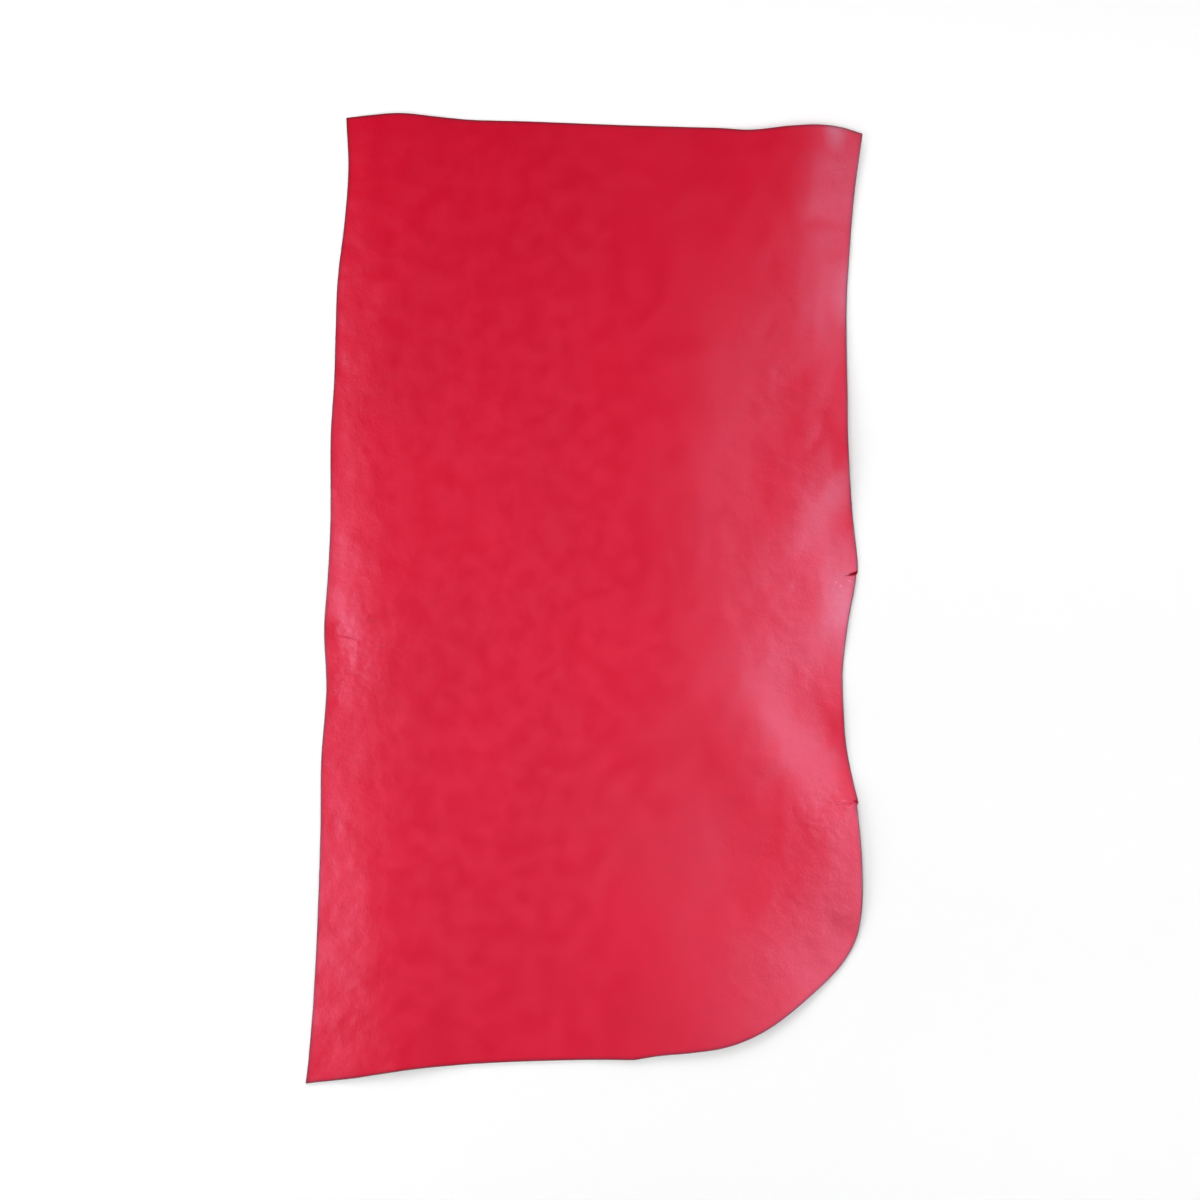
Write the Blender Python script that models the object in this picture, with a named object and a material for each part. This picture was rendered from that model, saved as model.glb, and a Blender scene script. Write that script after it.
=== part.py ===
"""A half hide of red leather, laid out with its smooth grain side up.

Metres, +Z up. The hide's length runs along Y. Its straight-cut back edge is on the left (-X) and
its wavy belly edge on the right (+X). The origin is in the middle of the hide's footprint, on the
surface that the hide lies on.
"""

from collections import namedtuple

import bpy
import numpy as np
from mathutils.geometry import delaunay_2d_cdt

MM = 0.001

# ---------------------------------------------------------------------------------------------
# Driving sizes
# ---------------------------------------------------------------------------------------------

THICKNESS = 2.4 * MM

SETTLING = 0.4 * MM     # the leather's weight takes this much off every swell

RIM_STEP = 15 * MM      # from point to point along the cut edge
FINE_STEP = 5.5 * MM    # between mesh points round the pinches
RELIEF_FACTOR = 4       # mesh points on the swells stand this many fine steps apart
FLAT_FACTOR = 8         # mesh points where the hide lies flat stand this many fine steps apart
RIM_CLEARANCE = 0.55    # share of its own step that an inner mesh point keeps from the edge
SLOPE_REACH = 0.5 * MM  # how far to each side of a place its slope is measured
WELD_LIMIT = 1e-7       # mesh points closer together than this are one
SHARP_ANGLE = 50        # degrees between faces from which the edge between them stays sharp

# The outline, clockwise from the top left corner, as six stretches. Each starts where the cut edge
# turns sharply, or where it steps sideways at a pinch.
# Columns: x to the right and y up from the middle of the hide, in millimetres.
TOP_EDGE = (
    (-332, 670), (-299, 673), (-255, 676), (-202, 671), (-153, 667), (-76, 665), (50, 660),
    (175, 656), (231, 652), (280, 656), (322, 658), (356, 655), (387, 647),
)
BELLY_EDGE_ABOVE_PINCH = (
    (387, 647), (382, 612), (375, 556), (369, 479), (365, 402), (366, 277), (367, 207),
    (373, 123), (380, 61), (381, 36),
)
BELLY_EDGE_BETWEEN_PINCHES = (
    (379, 32), (376, 12), (368, -30), (361, -86), (360, -128), (364, -197), (374, -253),
    (381, -284),
)
BUTT_CORNER = (
    (379, -288), (385, -351), (387, -414), (384, -451), (377, -479), (361, -507), (337, -534),
    (301, -566), (262, -596), (224, -616), (189, -627), (147, -633), (105, -637), (69, -643),
)
BOTTOM_EDGE = (
    (69, -643), (8, -643), (-76, -645), (-160, -649), (-243, -656), (-327, -669), (-389, -676),
)
BACK_EDGE = (
    (-389, -676), (-385, -644), (-378, -560), (-372, -448), (-368, -323), (-367, -225),
    (-360, -128), (-363, -44), (-358, 26), (-354, 110), (-354, 221), (-349, 305), (-347, 375),
    (-344, 444), (-334, 528), (-329, 598), (-332, 670),
)
OUTLINE_STRETCHES = (
    TOP_EDGE, BELLY_EDGE_ABOVE_PINCH, BELLY_EDGE_BETWEEN_PINCHES, BUTT_CORNER, BOTTOM_EDGE,
    BACK_EDGE,
)

# The swells that lift the hide off the surface. Each is a mound or, with a negative height, a
# hollow: the middle of its crest, its reach along that crest and in front of and behind it, and
# the crest's turn from +X. Its front is the side on the right of someone who walks along the
# crest. Millimetres and degrees.
Swell = namedtuple("Swell", "place x y along front behind turn height")
SWELLS = (
    Swell("belly side", 131, -24, 447, 242, 195, 98, 3.7),
    Swell("low ridge inside the belly", 142, 320, 424, 141, 178, 85, 6.6),
    Swell("belly ridge", 318, 243, 451, 80, 219, 90, 6.2),
    Swell("belly ridge, head end", 327, 738, 472, 122, 179, 81, 13),
    Swell("belly edge, lifted", 420, 232, 274, 45, 103, 86, 11.8),
    Swell("lip above the first pinch", 308, 83, 108, 137, 69, 72, 3),
    Swell("lips of the first pinch", 386, 35, 45, 22, 22, 4, 4),
    Swell("slope below the first pinch", 366, 35, 239, 74, 100, 45, 4.5),
    Swell("bay between the pinches", 366, 61, 143, 104, 134, 98, -8.4),
    Swell("bay, upper slope", 368, 208, 272, 38, 122, 56, 2.1),
    Swell("bay, middle slope", 189, -78, 246, 115, 259, 89, 5.2),
    Swell("bay, lower slope", 280, -242, 168, 71, 136, 123, 6.8),
    Swell("belly edge in the bay", 445, -217, 167, 116, 70, 141, 10.1),
    Swell("lips of the second pinch", 386, -286, 55, 22, 22, -6, 4),
    Swell("butt ridge", 400, -350, 299, 117, 167, 38, 9.1),
    Swell("butt corner", 190, -543, 258, 278, 168, -29, 5.4),
    Swell("back ridge, high", -287, 525, 418, 72, 161, -93, 4.9),
    Swell("back ridge, middle", -278, 4, 307, 103, 171, -85, 5.8),
    Swell("back ridge, low", -279, -484, 448, 125, 152, -87, 6.2),
)

# Short sharp creases between the lips of each pinch: half as long as their reach along, since
# they start at the cut edge. Columns as for the swells, with a depth.
Crease = namedtuple("Crease", "place x y along front behind turn depth")
CREASES = (
    Crease("first pinch", 384, 34, 32, 8, 8, 4, 5),
    Crease("second pinch", 385, -286, 44, 8, 8, -6, 5),
)
CREASE_REACH = 40 * MM  # fine mesh reaches this far round a crease

# Colour of the grain side, linear red, green and blue.
LEATHER_RED = (0.64, 0.02, 0.045, 1.0)
LEATHER_ROUGHNESS = 0.45


# ---------------------------------------------------------------------------------------------
# Outline
# ---------------------------------------------------------------------------------------------

def smooth_stretch(corner_points, step):
    """Points about one step apart on the smooth curve through corner_points, the last left out."""
    points = np.array(corner_points, dtype=float) * MM
    before = 2 * points[0] - points[1]
    after = 2 * points[-1] - points[-2]
    padded = np.vstack((before, points, after))
    curve = []
    for a, b, c, d in zip(padded, padded[1:], padded[2:], padded[3:]):
        pieces = max(1, round(float(np.linalg.norm(c - b)) / step))
        for t in np.arange(pieces) / pieces:
            curve.append(0.5 * (
                2 * b + (c - a) * t + (2 * a - 5 * b + 4 * c - d) * t**2
                + (3 * b - a - 3 * c + d) * t**3
            ))
    return curve


def hide_outline(step):
    """The cut edge as a closed ring of points, anticlockwise seen from above."""
    ring = []
    for stretch in OUTLINE_STRETCHES:
        ring.extend(smooth_stretch(stretch, step))
        if stretch[-1] not in (s[0] for s in OUTLINE_STRETCHES):
            ring.append(np.array(stretch[-1]) * MM)
    return np.array(ring[::-1])


# ---------------------------------------------------------------------------------------------
# Relief
# ---------------------------------------------------------------------------------------------

def own_axes(feature, x, y):
    """Places along and across a swell or crease, as shares of its reach each way."""
    turn = np.radians(feature.turn)
    dx = x - feature.x * MM
    dy = y - feature.y * MM
    along = (dx * np.cos(turn) + dy * np.sin(turn)) / (feature.along * MM)
    across = dx * np.sin(turn) - dy * np.cos(turn)
    reach = np.where(across > 0, feature.front, feature.behind) * MM
    return along, across / reach


def underside_height(x, y):
    """How far the underside stands above the surface at each place."""
    height = np.full_like(x, -SETTLING)
    for swell in SWELLS:
        distance = np.minimum(np.hypot(*own_axes(swell, x, y)), 1)
        height += swell.height * MM * np.cos(distance * np.pi / 2) ** 2
    for crease in CREASES:
        along, across = own_axes(crease, x, y)
        fade = np.cos(np.minimum(np.abs(along), 1) * np.pi / 2)
        height -= crease.depth * MM * fade * np.maximum(1 - np.abs(across), 0)
    return np.maximum(height, 0)


def surface_normals(x, y):
    """The upward unit normal of the underside at each place."""
    rise_x = underside_height(x + SLOPE_REACH, y) - underside_height(x - SLOPE_REACH, y)
    rise_y = underside_height(x, y + SLOPE_REACH) - underside_height(x, y - SLOPE_REACH)
    normals = np.stack((-rise_x, -rise_y, np.full_like(x, 2 * SLOPE_REACH)), axis=1)
    return normals / np.linalg.norm(normals, axis=1, keepdims=True)


# ---------------------------------------------------------------------------------------------
# Mesh
# ---------------------------------------------------------------------------------------------

def inner_points(ring):
    """Mesh points inside the outline: wide apart where it is flat, closer on swells and creases."""
    low = ring.min(axis=0)
    high = ring.max(axis=0)
    row_step = FINE_STEP * np.sqrt(3) / 2
    kept = []
    for row in range(int((high[1] - low[1]) / row_step) + 1):
        y = low[1] + row * row_step
        first = -(row // 2)
        for column in range(first, first + int((high[0] - low[0]) / FINE_STEP) + 1):
            x = low[0] + (column + row / 2) * FINE_STEP
            spacing = wanted_spacing(x, y)
            on_lattice = row % spacing == 0 and column % spacing == 0
            if on_lattice and clears_rim(x, y, ring, spacing * FINE_STEP * RIM_CLEARANCE):
                kept.append((x, y))
    return kept


def wanted_spacing(x, y):
    """How many fine steps apart the mesh points stand round a place."""
    for crease in CREASES:
        if np.hypot(x - crease.x * MM, y - crease.y * MM) < CREASE_REACH:
            return 1
    on_swell = any(np.hypot(*own_axes(swell, x, y)) < 1 for swell in SWELLS)
    return RELIEF_FACTOR if on_swell else FLAT_FACTOR


def clears_rim(x, y, ring, clearance):
    """Whether a place lies inside the outline and at least the clearance away from it."""
    ends = np.roll(ring, -1, axis=0)
    crosses = (ring[:, 1] > y) != (ends[:, 1] > y)
    rise = np.where(crosses, ends[:, 1] - ring[:, 1], 1)
    crossing_x = ring[:, 0] + (y - ring[:, 1]) / rise * (ends[:, 0] - ring[:, 0])
    inside = np.count_nonzero(crosses & (crossing_x > x)) % 2 == 1
    return inside and np.hypot(ring[:, 0] - x, ring[:, 1] - y).min() > clearance


def hide_mesh():
    """The hide as one closed sheet: grain face, flesh face and the cut edge between them."""
    ring = hide_outline(RIM_STEP)
    places = [tuple(p) for p in ring] + inner_points(ring)
    rim = list(range(len(ring)))
    flat, _, faces, _, _, _ = delaunay_2d_cdt(places, [], [rim], 1, WELD_LIMIT)
    x, y = np.array([tuple(p) for p in flat]).T

    flesh = np.stack((x, y, underside_height(x, y)), axis=1)
    grain = flesh + surface_normals(x, y) * THICKNESS
    both = np.vstack((grain, flesh))
    both[:, :2] -= (both[:, :2].max(axis=0) + both[:, :2].min(axis=0)) / 2

    count = len(flat)
    grain_faces = [tuple(face) for face in faces]
    flesh_faces = [tuple(index + count for index in reversed(face)) for face in faces]
    edge_faces = []
    for here, there in zip(rim, rim[1:] + rim[:1]):
        edge_faces.append((here, here + count, there + count, there))

    mesh = bpy.data.meshes.new("hide")
    mesh.from_pydata(both.tolist(), [], grain_faces + flesh_faces + edge_faces)
    mesh.shade_smooth()
    mesh.set_sharp_from_angle(angle=np.radians(SHARP_ANGLE))
    return mesh


# ---------------------------------------------------------------------------------------------
# Material and object
# ---------------------------------------------------------------------------------------------

def red_leather():
    """Dyed leather with a soft sheen."""
    material = bpy.data.materials.new("red leather")
    material.use_nodes = True
    shader = material.node_tree.nodes["Principled BSDF"]
    shader.inputs["Base Color"].default_value = LEATHER_RED
    shader.inputs["Roughness"].default_value = LEATHER_ROUGHNESS
    shader.inputs["Metallic"].default_value = 0.0
    return material


def build():
    for old in list(bpy.data.objects):
        bpy.data.objects.remove(old)
    hide = bpy.data.objects.new("hide", hide_mesh())
    hide.data.materials.append(red_leather())
    bpy.context.collection.objects.link(hide)


build()
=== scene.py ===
# %% [markdown]
# # A half hide of red leather, laid out on a table
#
# A tannery cuts a cattle hide in two along the backbone. This is one of the halves: a sheet of
# dyed, vegetable-tanned leather about 2.4 mm thick, with its smooth grain side up. Its back edge,
# on the left, was cut straight with a knife. Its belly edge, on the right, keeps the wavy outline
# of the animal, with two small pinches in it, and the rounded corner below them is the butt.
#
# The lesson goes from the outline to the finished picture: the cut sheet, the swells that lift it
# off the table, its four finishes, the loose fibres on its edge, and the studio.

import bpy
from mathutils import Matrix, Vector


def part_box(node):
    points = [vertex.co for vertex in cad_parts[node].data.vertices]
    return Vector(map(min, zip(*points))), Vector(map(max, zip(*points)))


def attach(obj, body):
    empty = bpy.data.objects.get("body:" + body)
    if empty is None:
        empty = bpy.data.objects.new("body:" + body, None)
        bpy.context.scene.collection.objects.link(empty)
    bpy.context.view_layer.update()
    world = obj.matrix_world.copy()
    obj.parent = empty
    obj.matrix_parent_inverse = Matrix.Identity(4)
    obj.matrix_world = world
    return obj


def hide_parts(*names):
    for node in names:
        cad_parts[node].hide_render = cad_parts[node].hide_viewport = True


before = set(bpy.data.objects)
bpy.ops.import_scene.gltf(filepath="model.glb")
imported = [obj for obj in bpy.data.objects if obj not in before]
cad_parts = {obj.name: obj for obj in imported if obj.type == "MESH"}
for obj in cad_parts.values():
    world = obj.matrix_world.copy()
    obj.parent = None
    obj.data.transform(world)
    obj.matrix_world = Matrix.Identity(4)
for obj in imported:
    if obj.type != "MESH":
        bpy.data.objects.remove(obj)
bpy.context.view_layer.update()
HIDE_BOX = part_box("hide")
print("packed hide, mm:", [round(1000 * side) for side in HIDE_BOX[1] - HIDE_BOX[0]])

# %% Modules and units
import math
from collections import namedtuple

import bpy
import numpy as np
from mathutils import Matrix, Vector
from mathutils.geometry import delaunay_2d_cdt

MM = 0.001
LEATHER_THICKNESS = 2.4 * MM

# %% [markdown]
# ## The outline
#
# The outline of a hide is nobody's drawing: it is what the animal and the knife left. It could be
# drawn as one long curve by hand. Here it is six short stretches, each a smooth curve through a
# few measured places, because a stretch ends exactly where the real edge turns sharply: at the
# three corners, and where the belly edge steps sideways at a pinch.

# %% The outline's six stretches
# Columns: x to the right and y up from the middle of the hide, in millimetres, clockwise.
TOP_EDGE = (
    (-332, 670), (-299, 673), (-255, 676), (-202, 671), (-153, 667), (-76, 665), (50, 660),
    (175, 656), (231, 652), (280, 656), (322, 658), (356, 655), (387, 647),
)
BELLY_EDGE_ABOVE_PINCH = (
    (387, 647), (382, 612), (375, 556), (369, 479), (365, 402), (366, 277), (367, 207),
    (373, 123), (380, 61), (381, 36),
)
BELLY_EDGE_BETWEEN_PINCHES = (
    (379, 32), (376, 12), (368, -30), (361, -86), (360, -128), (364, -197), (374, -253),
    (381, -284),
)
BUTT_CORNER = (
    (379, -288), (385, -351), (387, -414), (384, -451), (377, -479), (361, -507), (337, -534),
    (301, -566), (262, -596), (224, -616), (189, -627), (147, -633), (105, -637), (69, -643),
)
BOTTOM_EDGE = (
    (69, -643), (8, -643), (-76, -645), (-160, -649), (-243, -656), (-327, -669), (-389, -676),
)
BACK_EDGE = (
    (-389, -676), (-385, -644), (-378, -560), (-372, -448), (-368, -323), (-367, -225),
    (-360, -128), (-363, -44), (-358, 26), (-354, 110), (-354, 221), (-349, 305), (-347, 375),
    (-344, 444), (-334, 528), (-329, 598), (-332, 670),
)
OUTLINE_STRETCHES = (
    TOP_EDGE, BELLY_EDGE_ABOVE_PINCH, BELLY_EDGE_BETWEEN_PINCHES, BUTT_CORNER, BOTTOM_EDGE,
    BACK_EDGE,
)

# %% From stretches to a ring of points
EDGE_STEP = 3.0 * MM


def smooth_stretch(corner_points, step):
    """Points about one step apart on the smooth curve through corner_points, the last left out."""
    points = np.array(corner_points, dtype=float) * MM
    padded = np.vstack((2 * points[0] - points[1], points, 2 * points[-1] - points[-2]))
    curve = []
    for a, b, c, d in zip(padded, padded[1:], padded[2:], padded[3:]):
        pieces = max(1, round(float(np.linalg.norm(c - b)) / step))
        for t in np.arange(pieces) / pieces:
            curve.append(0.5 * (
                2 * b + (c - a) * t + (2 * a - 5 * b + 4 * c - d) * t**2
                + (3 * b - a - 3 * c + d) * t**3
            ))
    return curve


def hide_outline(step):
    """The cut edge as a closed ring of points, anticlockwise seen from above."""
    ring = []
    starts = [corner_points[0] for corner_points in OUTLINE_STRETCHES]
    for corner_points in OUTLINE_STRETCHES:
        ring.extend(smooth_stretch(corner_points, step))
        if corner_points[-1] not in starts:
            ring.append(np.array(corner_points[-1]) * MM)
    return np.array(ring[::-1])


outline = hide_outline(EDGE_STEP)
print("points round the cut edge:", len(outline))

# %% [markdown]
# ## The cut edge, seen from its end
#
# Leather cut with a knife and rubbed with a cloth has no sharp corners: the grain face rolls over
# into the edge within half a millimetre, and the edge itself bulges a little. A Bevel modifier
# could round it, but it needs clean corners all round. A short table of rings does the same and
# keeps full control: each row moves the whole outline inward, and names a level in the thickness.

# %% The edge's profile, as rings
EdgeRow = namedtuple("EdgeRow", "inset level")
# Inset from the outline in millimetres, and level from the flesh face (0) to the grain face (1).
EDGE_PROFILE = (
    EdgeRow(1.70, 1.00),
    EdgeRow(0.95, 0.995),
    EdgeRow(0.45, 0.97),
    EdgeRow(0.16, 0.90),
    EdgeRow(0.03, 0.78),
    EdgeRow(0.00, 0.58),
    EdgeRow(0.02, 0.36),
    EdgeRow(0.12, 0.15),
    EdgeRow(0.40, 0.03),
    EdgeRow(1.00, 0.00),
)
LONGEST_MITRE = 1.5     # how much farther a ring's sharpest corner may move than its sides


def inward_directions(ring):
    """For each ring point, the way into the hide, a little longer where the outline turns."""
    forward = np.roll(ring, -1, axis=0) - ring
    forward /= np.linalg.norm(forward, axis=1, keepdims=True)
    into = np.stack((-forward[:, 1], forward[:, 0]), axis=1)
    middle = into + np.roll(into, 1, axis=0)
    middle /= np.linalg.norm(middle, axis=1, keepdims=True)
    straightness = np.maximum((middle * into).sum(axis=1), 1 / LONGEST_MITRE)
    return middle / straightness[:, None]


edge_rings = [outline + inward_directions(outline) * row.inset * MM for row in EDGE_PROFILE]
print("rings over the edge:", len(edge_rings))

# %% [markdown]
# ## Places for the mesh points
#
# The swells of a laid hide are broad, so points 5 mm apart draw them well. The folds of the two
# pinches and the growth wrinkles are only a few millimetres wide. One even grid fine enough for
# them would need several million faces. A nested triangular grid solves it: every place belongs
# to the finest grid, and away from the fine detail only every second, fourth or eighth row and
# column is kept.

# %% The nested grid
FINE_PITCH = 0.6 * MM
GRAIN_COARSE = 8        # the grain face keeps every eighth row and column of the fine grid
FLESH_COARSE = 16
EDGE_CLEARANCE = 0.5    # share of its own pitch that a grid point keeps from the outline
ZONE_RIM = 1.25         # how far a step of middling spacing goes round a fine zone

# Middle and reach in millimetres, and which rows and columns are kept: 2 is every second one.
FineZone = namedtuple("FineZone", "place x y reach_x reach_y spacing")
FINE_ZONES = (
    FineZone("first pinch", 362, 24, 34, 30, 2),
    FineZone("first pinch, notch", 374, 32, 20, 14, 1),
    FineZone("second pinch", 350, -290, 50, 38, 2),
    FineZone("second pinch, notch", 366, -286, 28, 10, 1),
    FineZone("growth wrinkles by the back", -306, -66, 52, 62, 2),
)


def grid_spacing(x, y, coarse):
    """Which rows and columns are kept at each place, with one step between coarse and fine."""
    spacing = np.full(x.shape, coarse)
    for zone in FINE_ZONES:
        outwards = np.hypot((x / MM - zone.x) / zone.reach_x, (y / MM - zone.y) / zone.reach_y)
        spacing = np.where(outwards < ZONE_RIM, np.minimum(spacing, 2 * zone.spacing), spacing)
        spacing = np.where(outwards < 1, np.minimum(spacing, zone.spacing), spacing)
    return spacing


def distance_to_ring(places, ring):
    """Distance from each place to the outline, below zero outside the hide."""
    nearest = np.full(len(places), np.inf)
    inside = np.zeros(len(places), dtype=bool)
    for start, end in zip(ring, np.roll(ring, -1, axis=0)):
        side = end - start
        share = np.clip((places - start) @ side / (side @ side), 0, 1)
        nearest = np.minimum(nearest, np.hypot(*(places - start - share[:, None] * side).T))
        if start[1] != end[1]:
            between = (start[1] > places[:, 1]) != (end[1] > places[:, 1])
            crossing = start[0] + (places[:, 1] - start[1]) / side[1] * side[0]
            inside ^= between & (places[:, 0] < crossing)
    return np.where(inside, nearest, -nearest)


def inner_places(ring, coarse, use_fine_zones):
    """Grid places inside the ring, and how far each is from the ring."""
    low, high = ring.min(axis=0), ring.max(axis=0)
    row_step = FINE_PITCH * math.sqrt(3) / 2
    rows, columns = np.meshgrid(
        np.arange(int((high[1] - low[1]) / row_step) + 1),
        np.arange(int((high[0] - low[0]) / FINE_PITCH) + 1),
        indexing="ij",
    )
    columns = columns - rows // 2
    x = low[0] + (columns + rows / 2) * FINE_PITCH
    y = low[1] + rows * row_step
    spacing = grid_spacing(x, y, coarse) if use_fine_zones else np.full(x.shape, coarse)
    kept = (rows % spacing == 0) & (columns % spacing == 0)
    places = np.stack((x[kept], y[kept]), axis=1)
    distance = distance_to_ring(places, ring)
    clear = distance > spacing[kept] * FINE_PITCH * EDGE_CLEARANCE
    return places[clear], distance[clear]


grain_places, grain_distance = inner_places(edge_rings[0], GRAIN_COARSE, True)
flesh_places, flesh_distance = inner_places(edge_rings[-1], FLESH_COARSE, False)
print("grid points, grain and flesh face:", len(grain_places), len(flesh_places))

# %% [markdown]
# ## The flat sheet
#
# The two faces and the edge become one closed mesh, still flat. Each point carries two numbers
# that the next steps read: its level in the thickness, and its distance from the cut edge. Storing
# them as attributes means that the shape and the finishes never have to guess which face they are
# on.

# %% Join the faces and the edge into one closed sheet
GRAIN_SIDE = bpy.data.materials.new("red leather, grain side")
CUT_EDGE = bpy.data.materials.new("red leather, cut edge")
FLESH_SIDE = bpy.data.materials.new("red leather, flesh side")
FOLDED_GRAIN = bpy.data.materials.new("red leather, folded grain")
WELD_LIMIT = 1e-7       # metres: points nearer than this would be welded into one


def face_between(ring, places):
    """Triangles that fill the ring through the places. Their points are the ring's, then these."""
    points = [tuple(p) for p in ring] + [tuple(p) for p in places]
    rim = list(range(len(ring)))
    flat, _, faces, _, _, _ = delaunay_2d_cdt(points, [], [rim], 1, WELD_LIMIT)
    if len(flat) != len(points):
        raise ValueError("two mesh points of a face fell together")
    return np.array([tuple(face) for face in faces])


def edge_strips(count, rings):
    """Quads between each ring of the edge and the next one down."""
    here = np.arange(count)
    there = np.roll(here, -1)
    strips = []
    for upper in range(rings - 1):
        top, below = upper * count, (upper + 1) * count
        strips.append(np.stack((there + top, here + top, here + below, there + below), axis=1))
    return np.vstack(strips)


def flat_sheet():
    """The hide as a flat closed mesh with its level and edge_distance attributes."""
    count = len(outline)
    ring_points = count * len(edge_rings)
    grain_faces = face_between(edge_rings[0], grain_places)
    flesh_faces = face_between(edge_rings[-1], flesh_places)[:, ::-1]
    grain_faces = np.where(grain_faces < count, grain_faces, grain_faces - count + ring_points)
    flesh_faces = np.where(
        flesh_faces < count,
        flesh_faces + ring_points - count,
        flesh_faces - count + ring_points + len(grain_places),
    )
    places = np.vstack((*edge_rings, grain_places, flesh_places))
    level = np.concatenate((
        np.repeat([row.level for row in EDGE_PROFILE], count),
        np.ones(len(grain_places)),
        np.zeros(len(flesh_places)),
    ))
    edge_distance = np.concatenate((
        np.repeat([row.inset * MM for row in EDGE_PROFILE], count),
        grain_distance + EDGE_PROFILE[0].inset * MM,
        flesh_distance + EDGE_PROFILE[-1].inset * MM,
    ))
    mesh = bpy.data.meshes.new("flat hide")
    for material in (GRAIN_SIDE, CUT_EDGE, FLESH_SIDE, FOLDED_GRAIN):
        mesh.materials.append(material)
    strips = edge_strips(count, len(edge_rings))
    faces = grain_faces.tolist() + strips.tolist() + flesh_faces.tolist()
    corners = np.hstack((places, np.zeros((len(places), 1))))
    mesh.from_pydata(corners.tolist(), [], faces)
    for name, numbers in (("level", level), ("edge_distance", edge_distance)):
        mesh.attributes.new(name, "FLOAT", "POINT").data.foreach_set("value", numbers)
    return mesh


flat_mesh = flat_sheet()

# %% [markdown]
# ## The swells
#
# A hide never lies quite flat. The tanned skin is tighter in some places than in others, so its
# belly side stands up in long low swells, 5 to 12 mm high, and its back edge in a lower row.
# Sculpting them by hand would work, and so would a cloth simulation that drops the sheet on the
# table. But each swell is really one simple shape: a mound that falls away smoothly from its
# crest, faster in front than behind. So the relief follows a rule, which is what Geometry Nodes
# are good at: one small node group makes one swell, and a table says where each swell goes.

# %% The table of swells
# Middle of the crest, reach along it, in front of it (on its right) and behind it, turn of the
# crest from +X, and height. Millimetres and degrees. A negative height is a hollow.
Swell = namedtuple("Swell", "place x y along front behind turn height")
SWELLS = (
    Swell("belly side", 131, -24, 447, 242, 195, 98, 3.7),
    Swell("low ridge inside the belly", 142, 320, 424, 141, 178, 85, 6.6),
    Swell("belly ridge", 318, 243, 451, 80, 219, 90, 6.2),
    Swell("belly ridge, head end", 327, 738, 472, 122, 179, 81, 13),
    Swell("belly edge, lifted", 420, 232, 274, 45, 103, 86, 11.8),
    Swell("lip above the first pinch", 308, 83, 108, 137, 69, 72, 3),
    Swell("lips of the first pinch", 386, 35, 45, 22, 22, 4, 1.6),
    Swell("slope below the first pinch", 366, 35, 239, 74, 100, 45, 4.5),
    Swell("bay between the pinches", 366, 61, 143, 104, 134, 98, -8.4),
    Swell("bay, upper slope", 368, 208, 272, 38, 122, 56, 2.1),
    Swell("bay, middle slope", 189, -78, 246, 115, 259, 89, 5.2),
    Swell("bay, lower slope", 280, -242, 168, 71, 136, 123, 6.8),
    Swell("belly edge in the bay", 445, -217, 167, 116, 70, 141, 10.1),
    Swell("lips of the second pinch", 386, -286, 55, 22, 22, -6, 1.6),
    Swell("butt ridge", 400, -350, 299, 117, 167, 38, 9.1),
    Swell("butt corner", 190, -543, 258, 278, 168, -29, 5.4),
    Swell("back ridge, high", -287, 525, 418, 72, 161, -93, 4.9),
    Swell("back ridge, middle", -278, 4, 307, 103, 171, -85, 5.8),
    Swell("back ridge, low", -279, -484, 448, 125, 152, -87, 6.2),
)
SETTLING = 0.4 * MM     # the leather's weight takes this much off every swell

# Smaller ones, most of them under a millimetre. They hardly change the shape but show in the sheen.
SMALL_SWELLS = (
    Swell("first pinch, sunk", 370, 38, 31, 58, 25, 104, -0.6),
    Swell("above the first pinch", 382, 93, 17, 10, 29, 128, -0.5),
    Swell("rise below the first pinch", 374, -16, 88, 60, 66, 95, 2.6),
    Swell("edge of the bay", 391, -105, 20, 17, 31, -115, 1.2),
    Swell("bay's lower corner", 359, -235, 32, 29, 40, 77, -1),
    Swell("foot of the bay's slope", 276, -234, 67, 25, 31, 166, 0.7),
    Swell("above the second pinch", 361, -299, 73, 16, 27, 125, 0.7),
    Swell("inside the second pinch", 318, -315, 54, 19, 25, 129, 0.4),
    Swell("belly corner, head end", 386, 638, 46, 23, 20, 70, 0.6),
    Swell("belly corner, inside", 336, 580, 44, 23, 25, -29, -0.4),
    Swell("belly below the corner", 340, 533, 90, 72, 70, 176, -0.6),
    Swell("belly streak", 334, 402, 38, 16, 6, 101, -0.6),
    Swell("belly edge, middle", 377, 198, 36, 32, 52, -165, 1),
    Swell("butt edge", 382, -399, 37, 42, 54, 34, -0.7),
    Swell("butt corner, low", 275, -529, 57, 42, 54, -2, 0.7),
    Swell("back edge, head end", -358, 348, 97, 15, 32, -92, -0.7),
    Swell("back edge, upper", -362, 209, 62, 15, 30, -86, -0.5),
    Swell("above the growth wrinkles", -315, -9, 54, 41, 53, -44, 1),
    Swell("below the growth wrinkles", -338, -63, 66, 26, 27, -75, -0.7),
    Swell("inside the back ridge", -279, -162, 94, 34, 33, -96, -0.4),
    Swell("inside the back ridge, head end", -302, 409, 104, 34, 30, -95, -0.8),
    Swell("back edge, butt end", -359, -579, 80, 35, 45, -98, 0.4),
)

# %% [markdown]
# ## Helpers for node trees
#
# A node tree that is built in a script says the same thing over and over: add a node, fill its
# inputs, pass its output on. These helpers say it once, so that the trees below read like sums.

# %% Small helpers for node trees
PLAIN, USUAL, FINE = 1.0, 2.0, 3.0      # how much smaller detail a noise has in it


def connect(tree, value, socket):
    """Sets a socket: a link where value is another node's output, else its own value."""
    if isinstance(value, bpy.types.NodeSocket):
        tree.links.new(value, socket)
    else:
        socket.default_value = value


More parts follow.
